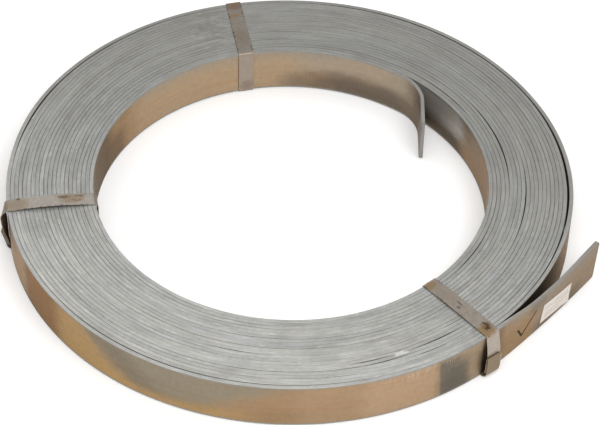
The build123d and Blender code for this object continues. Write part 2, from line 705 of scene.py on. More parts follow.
@dataclass(frozen=True)
class ZincFinish:
    """Zinc coat of the strip: grey edges, wide faces turned tan, with grey patches.

    Turn angles count on from turn to turn. Those of the outer wall are given from outer_turn.

    Attributes:
        edge_light: Light streaks on the narrow edges.
        edge_dark: Dark streaks on them, also their painted shade.
        edge_tint: Cool tint of some laps' edges.
        tan: Most of the wide faces.
        pink_tan: Clouds on them.
        light_tan: Pale stretches of the outer wall.
        pale_tan: Pale upper part of the inner end.
        golden: Yellower clouds.
        straw_and_highlight: Yellowest stretch of the outer wall, its own tone with a painted
            highlight.
        brown: Brown stretches of the outer wall.
        grey: Grey patches on it.
        taupe: Free outer end and a part of the bore wall.
        dark_grey: Dark smears, also painted shadow beside the front strap.
        olive: Shaded part of the bore wall.
        shade_olive: Painted shade on the wall behind the free outer end.
        rim_grey: Bare rims of the wide faces.
        olive_tan: Stretch beside the front strap.
        shaded_taupe: Tip of the inner end.
        slate: Darkest patch of the outer wall.
        bore_pale: Pale stretch of the bore wall.
        bore_tan: Tan stretch of it.
        seam: Painted shade in the seams, and low on the bore wall behind the inner end.
        fleck: Bright flecks and scratches, also painted light on the edges of the lit side.
        ink: Felt-pen ink and the deepest shade.
        grazing: Tint of reflections at a flat angle.
        lit_side_angle: Angle in plan of the side whose edges get painted light, with painted shade on
            the side across from it.
        smudge_place: Middle of a smudge on the upper edges, in metres.
        smudge_reach: Distances from there where it ends and where it is full, in metres.
        outer_turn: Turn angle of the outer wall at +X.
        chip_inside: Turn angles of a pale chip on the lap inside a seam.
        chip_outside: Turn angles of the same chip on the lap outside it.
        scraped: Turn angles of the scratches under the upper rim.
        tail_face: Turn angles over which the free outer end's upper edge turns stained.
        tail_edge_shade: Turn angles over which it gets painted shade.
        tick: Start, corner and tip of the felt-pen tick, along the outer end and up.
        tick_halves: Half widths of its two strokes.
        strip_width: Width of the strip.
        face_metal: Metallic share of the wide faces.
        edge_metal: Metallic share of the edges.
        rough: Roughness of the wide faces on average.
        relief_share: Strength of the fine relief.
        relief_height: Its height in metres.
    """

    edge_light: Colour = linear(204, 204, 199)
    edge_dark: Colour = linear(131, 130, 126)
    edge_tint: Colour = (0.93, 0.955, 1.0)
    tan: Colour = linear(157, 130, 98)
    pink_tan: Colour = linear(166, 138, 107)
    light_tan: Colour = linear(180, 153, 124)
    pale_tan: Colour = linear(170, 156, 137)
    golden: Colour = linear(166, 134, 88)
    straw_and_highlight: Colour = linear(181, 149, 102)
    brown: Colour = linear(147, 112, 76)
    grey: Colour = linear(147, 137, 118)
    taupe: Colour = linear(152, 136, 118)
    dark_grey: Colour = linear(108, 99, 88)
    olive: Colour = linear(108, 92, 74)
    shade_olive: Colour = linear(88, 76, 54)
    rim_grey: Colour = linear(150, 147, 140)
    olive_tan: Colour = linear(161, 145, 121)
    shaded_taupe: Colour = linear(121, 110, 99)
    slate: Colour = linear(100, 96, 89)
    bore_pale: Colour = linear(178, 155, 127)
    bore_tan: Colour = linear(152, 128, 104)
    seam: Colour = linear(78, 77, 73)
    fleck: Colour = linear(222, 221, 216)
    ink: Colour = linear(44, 31, 20)
    grazing: Colour = (0.5, 0.45, 0.4)
    lit_side_angle: float = 246.0
    smudge_place: tuple[float, float, float] = (-0.084, 0.228, 0.05)
    smudge_reach: Span = (0.058, 0.008)
    outer_turn: float = 7200.0
    chip_inside: Span = (5332.9, 5335.4)
    chip_outside: Span = (5692.7, 5695.6)
    scraped: Span = (7490.0, 7508.0)
    tail_face: Span = (7513.0, 7519.0)
    tail_edge_shade: Span = (7513.0, 7522.0)
    tick: tuple[Span, Span, Span] = ((13.0, 26.0), (20.0, 14.0), (37.0, 37.0))
    tick_halves: Span = (1.2, 1.1)
    strip_width: float = 50.0
    face_metal: float = 0.7
    edge_metal: float = 0.45
    rough: float = 0.42
    relief_share: float = 0.3
    relief_height: float = 0.0003

    def patches(self) -> tuple[Patch, ...]:
        """Lists the patches: first those of the bore wall, then those of the outer wall.

        Returns:
            The patches, each laid over those before it.
        """
        last = self.outer_turn
        return (
            Patch(20.0, 59.0, self.shaded_taupe, 0.9, 3.0),
            Patch(86.0, 146.0, self.bore_pale, 0.85, 6.0),
            Patch(50.0, 88.0, self.pale_tan, 0.85, 5.0, low=0.45, soft_height=0.14),
            Patch(76.0, 142.0, self.rim_grey, 0.5, 6.0, low=0.82, soft_height=0.16),
            Patch(54.0, 80.0, self.dark_grey, 0.95, 6.0, high=0.5, soft_height=0.2),
            Patch(78.0, 93.0, self.dark_grey, 0.6, 5.0, high=0.4, soft_height=0.2),
            Patch(152.0, 162.0, self.olive, 0.7, 3.0, high=0.62, soft_height=0.2),
            Patch(160.0, 205.0, self.olive, 0.95, 4.0),
            Patch(336.0, 386.0, self.bore_tan, 0.85, 6.0),
            Patch(374.0, 390.0, self.taupe, 0.9, 5.0, low=0.45, soft_height=0.2),
            # Painted shade low on the bore wall behind the inner end, pale zinc above it
            Patch(387.0, 420.0, self.seam, 0.8, 4.0),
            Patch(387.0, 420.0, self.fleck, 0.85, 4.0, low=0.4, soft_height=0.2),
            # Painted shade on the outer wall behind the free outer end, deepest towards the wedge
            # between them
            Patch(last - 45.0, last + 14.0, self.shade_olive, 0.95, 4.0),
            Patch(last - 45.0, last - 26.0, self.ink, 0.6, 2.0, end_soft=6.0),
            Patch(last - 25.0, last + 22.0, self.brown, 0.75, 6.0),
            Patch(last + 38.0, last + 64.0, self.light_tan, 0.6, 6.0),
            Patch(last + 88.0, last + 97.0, self.grey, 0.6, 2.5),
            Patch(last + 126.0, last + 152.0, self.golden, 0.6, 7.0, high=0.55, soft_height=0.2),
            Patch(last + 186.0, last + 207.5, self.light_tan, 0.9, 3.0, end_soft=1.5),
            Patch(last + 189.0, last + 200.5, self.dark_grey, 0.5, 2.0, low=0.6),
            Patch(last + 206.5, last + 220.0, self.brown, 0.95, 2.5),
            # Yellow stretch and low band of the outer wall: its own tone with a painted highlight
            Patch(last + 220.0, last + 240.0, self.straw_and_highlight, 0.85, 3.0),
            Patch(last + 236.0, last + 263.0, self.straw_and_highlight, 0.75, 6.0, high=0.26, soft_height=0.16),
            Patch(last + 241.0, last + 248.5, self.grey, 1.0, 5.0, low=0.2, soft_height=0.16,
                  start_lean=-14.0, end_lean=22.0),
            Patch(last + 241.0, last + 248.0, self.dark_grey, 0.35, 3.0, low=0.2, soft_height=0.16,
                  start_lean=-13.0, end_lean=-10.0),
            Patch(last + 272.0, last + 285.0, self.light_tan, 0.4, 3.0),
            Patch(last + 284.5, last + 299.5, self.light_tan, 0.95, 2.5, end_soft=1.0),
            Patch(last + 299.9, last + 311.0, self.olive_tan, 0.8, 0.35, end_soft=0.8),
            Patch(last + 300.6, last + 307.5, self.slate, 0.75, 0.35, high=0.93, soft_height=0.1,
                  start_lean=-0.7, end_lean=-3.5, end_soft=1.8),
            Patch(last + 301.0, last + 307.0, self.slate, 0.7, 1.2, high=0.74, soft_height=0.18),
            # Painted shadow of the front strap on the wall beside it
            Patch(last + 310.6, last + 316.0, self.dark_grey, 0.5, 0.8),
            Patch(last + 310.3, last + 312.0, self.ink, 0.8, 0.35, high=0.8, soft_height=0.15),
            Patch(last + 325.0, last + 360.0, self.taupe, 0.9, 1.2),
            Patch(last + 317.0, last + 350.0, self.rim_grey, 0.5, 2.0, low=0.8, soft_height=0.14),
            Patch(last + 323.0, last + 328.0, self.dark_grey, 0.45, 1.2, low=0.75, soft_height=0.15),
            Patch(last + 326.0, last + 341.0, self.dark_grey, 0.65, 2.0, high=0.32, soft_height=0.16),
        )

    def material(self) -> bpy.types.Material:
        """Builds the material: edge colour, face colour and patches, mixed by the edge mark.

        Returns:
            The material.
        """
        material, graph = new_material("galvanized_zinc")
        place = graph.place()
        turn, along = graph.mark(Mark.TURN), graph.mark(Mark.ALONG)
        across, edge = graph.mark(Mark.ACROSS), graph.mark(Mark.EDGE)
        mottle = graph.noise(place, 210.0, 4.0, 0.65)
        specks = graph.noise(place, 620.0, 2.0, 0.5)
        edges = self._edges(graph, place, mottle, specks)
        faces = self._faces(graph, turn, along, across)
        # Bare grey rims, fainter on the free outer end, whose upper edge is stained instead
        rim_noise = graph.streaks(along * 45.0, turn * 0.01, 0.0, 3.0, 0.6) - 0.5
        grey_rim = (abs(across - 0.5) + rim_noise * 0.05).ease(0.445, 0.485)
        tail = turn.ease(*self.tail_face)
        deep = graph.mark(Mark.DEEP)
        faces = graph.mix(grey_rim * (0.85 - tail * 0.6), faces, self.rim_grey)
        faces = graph.mix((mottle - 0.5) * 0.4 + 0.03, faces, self.dark_grey)
        stained = tail * deep.ease(0.3, 0.6) * 0.85
        colour = graph.mix(edge.ease(0.15, 0.6) * (1.0 - stained), faces, edges)
        # The tick, on the outer face alone
        ink = self._tick(along, across) * deep.ease(0.9, 0.98) * (mottle * 0.5 + 0.75)
        colour = graph.mix(ink, colour, self.ink)
        relief = mottle * 0.6 + specks * 0.4
        graph.surface({
            "Base Color": colour,
            "Metallic": edge.ease(0.15, 0.6, self.face_metal, self.edge_metal),
            "Roughness": (mottle - 0.5) * 0.3 + edge * 0.1 + self.rough,
            "Specular Tint": (*self.grazing, 1.0),
            "Normal": graph.bump(relief, self.relief_share, self.relief_height),
        })
        return material

    def _edges(self, graph: Graph, place: Value, mottle: Value, specks: Value) -> Value:
        """Colours the narrow edges: light and dark streaks along the laps, then specks, dirt, and
        painted light and shade.

        Args:
            graph: Graph of the material.
            place: Object coordinates.
            mottle: Fine clouds.
            specks: Finer ones.

        Returns:
            The colour.
        """
        turn, along, deep = graph.mark(Mark.TURN), graph.mark(Mark.ALONG), graph.mark(Mark.DEEP)
        # Streaks along the laps, from lap to lap and within each
        laps = graph.streaks(along * 10.0, turn * 0.031, 0.0, 2.0, 0.6)
        lines = graph.streaks(along * 30.0, turn * 0.029, deep * 2.6, 3.0, 0.65)
        flakes = graph.streaks(along * 70.0, turn * 0.047, deep * 1.4, 2.0, 0.6)
        tone = (laps - 0.5) * 0.8 + (lines - 0.5) * 1.1 + (mottle - 0.5) * 0.6 + 0.5
        edges = graph.mix(tone, self.edge_dark, self.edge_light)
        # Cooler laps, bright flakes, dark and bright specks, clouds of dirt
        hue = graph.streaks(along * 4.0, turn * 0.011, 3.0)
        edges = graph.mix(hue.ease(0.42, 0.60) * 0.8, edges, self.edge_tint, "MULTIPLY")
        edges = graph.mix(flakes.ease(0.58, 0.74) * 0.4, edges, self.fleck)
        edges = graph.mix(specks.ease(0.68, 0.76) * 0.35, edges, self.dark_grey)
        edges = graph.mix(specks.ease(0.30, 0.24) * 0.4, edges, self.fleck)
        dirt = graph.noise(place, 16.0, 4.0, 0.6)
        edges = graph.mix(dirt.ease(0.52, 0.72) * 0.35, edges, self.edge_dark)
        # A smudge beside the rear strap
        smudge = graph.node("ShaderNodeVectorMath", {"operation": "DISTANCE"},
                            {0: place, 1: self.smudge_place}, "Value").ease(*self.smudge_reach)
        cloudy = graph.streaks(along * 95.0, turn * 0.009, deep * 0.8, 4.0, 0.7)
        edges = graph.mix(smudge * cloudy.ease(0.45, 0.60) * 0.5, edges, self.dark_grey)
        edges = graph.mix(smudge * cloudy.ease(0.44, 0.32) * 0.3, edges, self.fleck)
        # Painted shade in the seams between laps, least on the lit side
        lit_side = (*(float(part) for part in plan_direction(np.array(self.lit_side_angle))), 0.0)
        towards = graph.node("ShaderNodeVectorMath", {"operation": "DOT_PRODUCT"},
                             {0: place, 1: lit_side}, "Value")
        seams = abs(deep - 0.5).ease(0.37, 0.47) * (laps.ease(0.62, 0.38) * 0.5 + 0.1)
        edges = graph.mix(seams * towards.ease(0.26, -0.1, 0.35, 1.0), edges, self.seam)
        # A pale chip across one seam, then painted shade on the upper edge of the free outer end
        inside = turn.within(*self.chip_inside, 0.5) * deep.ease(0.35, 0.65)
        outside = turn.within(*self.chip_outside, 0.5) * deep.ease(0.75, 0.45)
        edges = graph.mix((inside + outside) * mottle.ease(0.36, 0.50) * 0.8, edges, self.fleck)
        edges = graph.mix(turn.ease(*self.tail_edge_shade) * 0.45, edges, self.edge_dark)
        # Painted light on the edges of the lit side, painted shade on those across from it
        edges = graph.mix(towards.ease(0.08, 0.26) * 0.16, edges, self.fleck)
        return graph.mix(towards.ease(0.24, -0.2) * 0.6, edges, self.edge_dark)

    def _faces(self, graph: Graph, turn: Value, along: Value, across: Value) -> Value:
        """Colours the wide faces: tan clouds, patches, then fine scratches across the strip.

        Args:
            graph: Graph of the material.
            turn: Turn angle.
            along: Length along the strip in metres.
            across: Place across the strip, 0 to 1.

        Returns:
            The colour.
        """
        clouds = graph.streaks(along * 9.0, across * 1.6, turn * 0.002, 3.0, 0.55)
        ragged = graph.streaks(along * 60.0, across * 5.0, 0.0, 3.0, 0.6) - 0.5
        scratches = graph.streaks(along * 700.0, across * 4.0)
        faces = graph.mix(clouds.ease(0.35, 0.65), self.tan, self.pink_tan)
        faces = graph.mix(clouds.ease(0.62, 0.72) * 0.4, faces, self.golden)
        smears = graph.streaks(along * 5.0, across * 7.0, turn * 0.003, 3.0, 0.55)
        for patch in self.patches():
            faces = graph.mix(patch.mask(turn, across, ragged) * patch.strength, faces, patch.colour)
        faces = graph.mix(smears.ease(0.5, 0.68) * 0.35, faces, self.light_tan, "SOFT_LIGHT")
        faces = graph.mix(smears.ease(0.5, 0.32) * 0.12, faces, self.brown)
        # Fine scratches across the strip, strongest under the upper rim in one stretch
        scraped = turn.within(*self.scraped, 4.0) * (across + ragged * 0.7).ease(0.5, 1.0)
        faces = graph.mix(scratches.ease(0.52, 0.72) * (scraped * 0.24 + 0.03), faces, self.fleck)
        return graph.mix(scratches.ease(0.40, 0.28) * 0.08, faces, self.brown)

    def _tick(self, along: Value, across: Value) -> Value:
        """Draws a felt-pen tick on the free outer end: a short and a long stroke.

        Args:
            along: Length in metres from where the outer end leaves the coil.
            across: Place across the strip, 0 to 1.

        Returns:
            A mask of the ink.
        """
        length, height = along * PER_METRE, across * self.strip_width
        start, corner, tip = self.tick
        short = Stroke(start, corner, self.tick_halves[0]).mask(length, height)
        return short.most(Stroke(corner, tip, self.tick_halves[1]).mask(length, height))


@dataclass(frozen=True)
class Blot:
    """A stain on a strap, an ellipse with a ragged rim.

    Attributes:
        along: Its middle, along the strap from the coil's outer upper edge.
        across: Its middle across the strap, 0 to 1.
        half_along: Half of its length.
        half_across: Half of its width, as a share of the strap's.
        colour: Its colour.
        strength: How much of it shows.
        rag: How ragged its rim is.
    """

    along: float
    across: float
    half_along: float
    half_across: float
    colour: Colour
    strength: float = 1.0
    rag: float = 1.0

    def mask(self, along: Value, across: Value, ragged: Value) -> Value:
        """Marks the ellipse: the squared distances along and across, over its halves, make up 1.

        Args:
            along: Length along the strap in millimetres.
            across: Place across the strap, 0 to 1.
            ragged: Noise about 0.

        Returns:
            A mask between 0 and 1.
        """
        from_along = (along - self.along) / self.half_along
        from_across = (across - self.across) / self.half_across
        away = from_along * from_along + from_across * from_across + ragged * self.rag
        return away.ease(1.4, 0.2)


OCHRE = linear(140, 112, 72)
LIP_TAN = linear(130, 110, 80)
# Dark rust, also used for painted shade along the straps' edges
DARK_RUST_AND_SHADE = linear(70, 54, 38)
BROWN_RUST = linear(112, 84, 56)


@dataclass(frozen=True)
class StrapFinish:
    """Thin steel of a strap: dull taupe, lighter where it hangs, rusty in places.

    Attributes:
        top: Colour on the coil's upper side.
        wall: Colour on its walls.
        blots: Rust and dirt.
        rim: How strong the painted shade is along its edges on the coil's upper side.
        upper_run: Length of the strap on the coil's upper side.
        metal: Metallic share.
        rough: Roughness on average.
        relief_share: Strength of the fine relief.
        relief_height: Its height in metres.
    """

    top: Colour
    wall: Colour
    blots: tuple[Blot, ...]
    rim: float = 0.55
    upper_run: float = 85.0
    metal: float = 0.6
    rough: float = 0.5
    relief_share: float = 0.3
    relief_height: float = 0.0003

    def material(self, name: str) -> bpy.types.Material:
        """Builds the material.

        Args:
            name: Name of the strap.

        Returns:
            The material.
        """
        material, graph = new_material(name + "_steel")
        place = graph.place()
        along, across = graph.mark(Mark.ALONG) * PER_METRE, graph.mark(Mark.ACROSS)
        mottle = graph.noise(place, 240.0, 4.0, 0.6)
        fine = graph.noise(place, 700.0, 3.0, 0.6)
        clouds = graph.noise(place, 55.0, 3.0, 0.55)
        on_top = along.within(0.0, self.upper_run, 1.0)
        colour = graph.mix(on_top, self.wall, self.top)
        colour = graph.mix((clouds - 0.42) * 0.6 * (on_top * 0.7 + 0.3), colour, OCHRE)
        colour = graph.mix((mottle - 0.5) * (on_top * 0.5 + 0.2) + 0.04, colour, DARK_RUST_AND_SHADE)
        ragged = (mottle - 0.5) * 3.4 + (fine - 0.5) * 2.4
        for blot in self.blots:
            colour = graph.mix(blot.mask(along, across, ragged) * blot.strength, colour, blot.colour)
        # Painted shade along the edges in places, where the band meets the coil, then scratches along
        # the band
        rims = abs(across - 0.5).ease(0.38, 0.49) * mottle.ease(0.46, 0.60) * clouds.ease(0.42, 0.58)
        colour = graph.mix(rims * on_top * self.rim, colour, DARK_RUST_AND_SHADE)
        scratches = graph.streaks(along * 0.22, across * 9.0)
        colour = graph.mix(scratches.ease(0.70, 0.78) * 0.5, colour, DARK_RUST_AND_SHADE)
        graph.surface({
            "Base Color": colour,
            "Metallic": self.metal,
            "Roughness": (mottle - 0.5) * 0.35 + self.rough,
            "Normal": graph.bump(mottle, self.relief_share, self.relief_height),
        })
        return material


@dataclass(frozen=True)
class PaperFinish:
    """Label paper: off-white, with plain grey rules.

    Attributes:
        paper: Colour of the paper.
        rule: Colour of the rules.
        rules: Start, end and height of each rule, as shares of the label.
        rule_half: Half of a rule's height.
        rule_blur: Half of the change at its rims.
        end_blur: Half of the change at its ends.
        rough: Roughness of the paper.
    """

    paper: Colour = linear(234, 224, 214)
    rule: Colour = linear(150, 140, 136)
    rules: tuple[tuple[float, float, float], ...] = (
        (0.10, 0.34, 0.70),
        (0.42, 0.90, 0.72),
        (0.42, 0.90, 0.56),
        (0.10, 0.90, 0.38),
        (0.10, 0.62, 0.24),
    )
    rule_half: float = 0.018
    rule_blur: float = 0.012
    end_blur: float = 0.01
    rough: float = 0.75

    def material(self) -> bpy.types.Material:
        """Builds the material, with the rules on the label's front alone.

        Returns:
            The material.
        """
        material, graph = new_material("label_paper")
        along, across = graph.mark(Mark.ALONG), graph.mark(Mark.ACROSS)
        clouds = graph.noise(graph.place(), 160.0, 3.0, 0.6)
        colour = graph.mix((clouds - 0.4) * 0.5, self.paper, self.rule)
        front = graph.mark(Mark.DEEP).ease(0.4, 0.6)
        for start, end, height in self.rules:
            low, high = height - self.rule_half, height + self.rule_half
            mask = along.within(start, end, self.end_blur) * across.within(low, high, self.rule_blur)
            colour = graph.mix(mask * front * 0.7, colour, self.rule)
        graph.surface({"Base Color": colour, "Roughness": self.rough})
        return material


def dress(piece: bpy.types.Object, node: str, material: bpy.types.Material) -> None:
    """Gives a piece its finish and its place in the model.

    Args:
        piece: The piece.
        node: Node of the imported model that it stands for.
        material: Its finish.
    """
    piece.data.materials.append(material)
    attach(piece, BODY)
    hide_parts(node)
    log.info("%s: %d faces for %s", piece.name, len(piece.data.polygons), node)


@dataclass(frozen=True)
class SeamGap:
    """A place where two laps stand apart.

    Attributes:
        angle: Angle in plan.
        radius: Radius of the seam.
        half: Half of its length, in degrees.
        opening: How far the laps stand apart.
        fade: How much less each lap further away is pushed.
    """

    angle: float
    radius: float
    half: float
    opening: float
    fade: float = 0.09

    def push(self, turn: np.ndarray, radius: np.ndarray, lap: float) -> np.ndarray:
        """Pushes the laps inside the seam inward and those outside it outward.

        Args:
            turn: Turn angles.
            radius: Radius of the strip's middle at each.
            lap: Pitch of the winding.

        Returns:
            Outward distances.
        """
        away = (turn - self.angle + 180.0) % 360.0 - 180.0
        seams = (radius - self.radius) / lap
        further = np.clip(np.abs(seams) - 0.5, 0.0, None)
        reach = np.clip(self.opening / 2.0 - self.fade * further, 0.0, None)
        return bump_window(0.0, self.half, away) * reach * np.sign(seams)


@dataclass(frozen=True)
class Wander:
    """Uneven winding: a smooth random shift along the strip.

    Attributes:
        size: Largest shift.
        spacing: Turn angle from one random value to the next.
        seed: Start of the random numbers.
    """

    size: float
    spacing: float
    seed: int

    def at(self, turn: np.ndarray) -> np.ndarray:
        """Gives the shift at each turn angle."""
        return self.size * drift(turn, self.spacing, self.seed)


@dataclass(frozen=True)
class Bulge:
    """A place where the last lap stands off the coil.

    Attributes:
        turn: Turn angle of its middle.
        half: Half of its length, in degrees.
        out: How far it stands off.
    """

    turn: float
    half: float
    out: float


@dataclass
class PlanLine:
    """The strip's middle line seen from above.

    Attributes:
        points: Points in plan.
        facing: Angle of the outward normal at each.
        turn: Turn angle at each.
        along: Length at each, from where the outer end leaves the coil.
    """

    points: np.ndarray
    facing: np.ndarray
    turn: np.ndarray
    along: np.ndarray


@dataclass(frozen=True)
class Ribbon:
    """A lengthwise side of the strip in the texture layout.

    Attributes:
        side: Side of the bar.
        start: Turn angle where it starts.
        end: Turn angle where it ends.
        scale: Its scale, small where the side is out of sight.
    """

    side: Side
    start: float = -math.inf
    end: float = math.inf
    scale: float = 1.0


@dataclass
class TextureLayout:
    """Texture layout of a long bar: its sides are cut into rows and stacked.

    A row holds a fixed length of one side. Along it runs the length, up it the distance round
    the section, both in millimetres, and at the end all are divided by the sheet's two sides.

    Attributes:
        ribbons: The sides, which share out all faces.
        row: Length of a row.
        spare: Room for the last face of a row.
        gap: Room between rows.
    """

    ribbons: tuple[Ribbon, ...]
    row: float = 824.0
    spare: float = 12.0
    gap: float = 1.6

    def place(self, line: PlanLine, section: np.ndarray) -> np.ndarray:
        """Works out the place of every face corner.

        Args:
            line: The bar's middle line.
            section: The bar's section.

        Returns:
            Pairs between 0 and 1, for the quads in order and then for the two ends.
        """
        places = len(section)
        sides = np.linalg.norm(np.roll(section, -1, axis=0) - section, axis=1)
        middle_turn = (line.turn[1:] + line.turn[:-1]) / 2.0
        sheet = np.zeros((len(line.turn) - 1, places, 4, 2))
        height = 0.0
        for ribbon in self.ribbons:
            stations = np.flatnonzero((middle_turn >= ribbon.start) & (middle_turn < ribbon.end))
            first_face, count = ribbon.side.value
            faces = (first_face + np.arange(count)) % places
            length = (line.along - line.along[stations[0]]) * ribbon.scale
            rows = np.floor(length[stations] / self.row)
            edges = np.concatenate(((0.0,), np.cumsum(sides[faces]))) * ribbon.scale
            pitch = edges[-1] + self.gap
            ahead = np.stack((length[stations], length[stations + 1]), axis=1)[:, (0, 0, 1, 1)]
            up = np.stack((edges[:-1], edges[1:]), axis=1)[:, (0, 1, 1, 0)]
            where = np.ix_(stations, faces)
            row_top = height + (rows[:, None, None] + 1.0) * pitch - self.gap
            sheet[(*where, slice(None), 0)] = (ahead - rows[:, None] * self.row)[:, None, :]
            sheet[(*where, slice(None), 1)] = row_top - up
            height += pitch * (rows.max() + 1.0)
        beside = 2.0 * np.ptp(section[:, 0])
        caps = np.concatenate((section[::-1], section + (beside, 0.0)))
        caps = caps - caps.min(axis=0) + (0.0, height)
        size = np.array((self.row + self.spare, caps[:, 1].max()))
        log.info("texture sheet %.0f by %.0f mm", *size)
        return np.concatenate((sheet.reshape(-1, 2), caps)) / size


@dataclass
class WoundStrip:
    """The strip: a flat bar wound into a coil, with a free inner and a free outer end.

    Attributes:
        thick: Thickness of the strip.
        wide: Width of the strip.
        edge_drop: Reach of the rounded corners across the strip.
        edge_round: Their reach through the thickness.
        lap: Pitch of the winding.
        bottom: Height of the lower edge above the floor.
        bore: Radius of the bore.
        split: Angle where the two half turns meet.
        inner_angle: Turn angle where the inner end leaves the wall.
        outer_angle: Turn angle where the outer end leaves the wall.
        inner_radius: Radius of the inner end's bend.
        inner_turn: Angle of that bend.
        inner_run: Straight length of the inner end.
        outer_radius: Radius of the outer end's open arc.
        outer_length: Length of that arc.
        tail_lean: How far the upper edge of the outer end leans outward.
        tip_lean: The same at its tip.
        lean_rise: Lengths from the end's root where the lean starts and is full.
        lean_fall: Length from there where it starts to ease off.
        tip_round: Radius of the tips' corners.
        end_fade: Turn angle over which unevenness fades out towards the free ends.
        lifted: How far the strip stands above its lowest place on average.
        sway: Drift of the laps outward.
        lift: Drift of their height.
        slope: Drift of their edges' slope.
        seen_turn: Turn angle from each end over which its wall shows.
        seen_inner: Turn angle from the inner end over which its other face shows.
        seen_outer: The same at the outer end.
        hidden_scale: Scale of hidden faces in the texture.
        end_gap: How far the last even station stays short of the outer end, in degrees.
        steps: Stations in each turn.
        bend_steps: Stations in the inner end's bend.
        run_steps: Steps along its straight length.
        tail_steps: Stations along the outer end.
        tip_steps: Stations round each tip's corners.
        gaps: Seams that stand open.
        bulges: Places where the last lap stands off.
        node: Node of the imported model.
        finish: Its finish.
    """

    thick: float = 3.98
    wide: float = 49.6
    edge_drop: float = 0.28
    edge_round: float = 0.5
    lap: float = 4.1
    bottom: float = 0.95
    bore: float = 196.0
    split: float = 104.0
    inner_angle: float = 54.0
    outer_angle: float = 7517.5
    inner_radius: float = 46.0
    inner_turn: float = 54.0
    inner_run: float = 35.0
    outer_radius: float = 1500.0
    outer_length: float = 142.0
    tail_lean: float = 4.5
    tip_lean: float = 2.0
    lean_rise: Span = (-20.0, 40.0)
    lean_fall: float = 62.0
    tip_round: float = 2.6
    end_fade: float = 20.0
    lifted: float = 0.2
    sway: Wander = Wander(0.07, 23.0, 5)
    lift: Wander = Wander(0.18, 47.0, 3)
    slope: Wander = Wander(0.04, 31.0, 8)
    seen_turn: float = 377.0
    seen_inner: float = 20.0
    seen_outer: float = 17.0
    hidden_scale: float = 0.1
    end_gap: float = 0.5
    steps: int = 216
    bend_steps: int = 25
    run_steps: int = 9
    tail_steps: int = 40
    tip_steps: int = 7
    gaps: tuple[SeamGap, ...] = (
        SeamGap(17.0, 218.0, 26.0, 1.1),
        SeamGap(40.0, 208.0, 20.0, 0.8),
        SeamGap(352.0, 233.0, 18.0, 0.8),
        SeamGap(330.0, 208.0, 16.0, 0.7),
        SeamGap(287.0, 259.55, 7.5, 1.0),
        SeamGap(302.5, 259.55, 8.5, 1.0),
        SeamGap(290.0, 263.65, 6.0, 0.6),
        SeamGap(300.0, 267.75, 7.0, 0.6),
        SeamGap(258.0, 240.0, 8.0, 0.6),
        SeamGap(161.0, 278.0, 17.0, 1.0),
    )
    bulges: tuple[Bulge, ...] = (
        Bulge(7202.0, 44.0, 2.1),
        Bulge(7255.0, 45.0, 1.2),
        Bulge(7335.0, 34.0, 0.5),
        Bulge(7352.0, 26.0, 0.35),
        Bulge(7450.0, 62.0, 0.5),
    )
    node: str = "strip_coil"
    finish: ZincFinish = ZincFinish()

    def full_turns(self) -> int:
        """Counts the whole turns that follow the first split angle."""
        return math.floor((self.outer_angle - self.split) / 360.0)

    def second_centre(self) -> np.ndarray:
        """Gives the centre of the second half turns, half a lap towards the split angle."""
        return plan_direction(np.array(self.split)) * self.lap / 2.0

    def outer_lap(self) -> float:
        """Gives the bore-side radius of the last lap about the second centre."""
        return self.bore + self.lap * (self.full_turns() + 0.5)

    def outer_centre(self) -> np.ndarray:
        """Gives the centre of the outer end's arc."""
        way = plan_direction(np.array(self.outer_angle))
        return self.second_centre() + way * (self.outer_lap() - self.outer_radius)

    def turns(self) -> tuple[np.ndarray, np.ndarray, np.ndarray]:
        """Works out the turns.

        In each turn the first half is an arc about the origin and the second an arc about a
        centre half a lap away, with a radius half a lap larger, so that the laps run on into
        each other.

        Returns:
            Turn angles, centres as pairs and radii of the strip's middle.
        """
        turn = np.arange(self.inner_angle, self.outer_angle - self.end_gap, 360.0 / self.steps)
        laps = np.floor((turn - self.split) / 360.0)
        second = (turn - self.split) / 360.0 - laps >= 0.5
        centres = np.where(second[:, None], self.second_centre(), 0.0)
        return turn, centres, self.bore + self.lap * (laps + 0.5 * second + 0.5)

    def shift(self, turn: np.ndarray, radius: np.ndarray) -> np.ndarray:
        """Works out how far each place of the turns stands outward from its even winding.

        Laps drift a little, a few seams stand open, and the last lap stands off the coil in
        places. All of it fades out towards the two free ends.

        Args:
            turn: Turn angles.
            radius: Radius of the strip's middle at each.

        Returns:
            Outward distances.
        """
        out = self.sway.at(turn)
        for gap in self.gaps:
            out = out + gap.push(turn, radius, self.lap)
        for bulge in self.bulges:
            out = out + bulge.out * bump_window(bulge.turn, bulge.half, turn)
        ends = ease(self.inner_angle, self.inner_angle + self.end_fade, turn)
        return out * ends * ease(self.outer_angle, self.outer_angle - self.end_fade, turn)

    def lean(self, along: np.ndarray) -> np.ndarray:
        """Works out how far the upper edge leans outward, rising past the strap and easing off.

        Args:
            along: Lengths from where the outer end leaves the coil.

        Returns:
            Outward distances of the upper edge.
        """
        rise = self.tail_lean * ease(*self.lean_rise, along)
        return rise - (self.tail_lean - self.tip_lean) * ease(self.lean_fall, self.outer_length, along)

    def tip_distances(self) -> np.ndarray:
        """Gives distances from a tip that follow its rounded corners, a quarter cosine."""
        turned = np.radians(np.linspace(0.0, 90.0, self.tip_steps))
        return self.tip_round * (1.0 - np.cos(turned))

    def line(self) -> PlanLine:
        """Joins the inner end's run and bend, the turns and the outer end's arc to one line.

        Returns:
            The line.
        """
        middle = self.lap / 2.0
        turn, centres, radius = self.turns()
        spiral = centres + plan_direction(turn) * (radius + self.shift(turn, radius))[:, None]

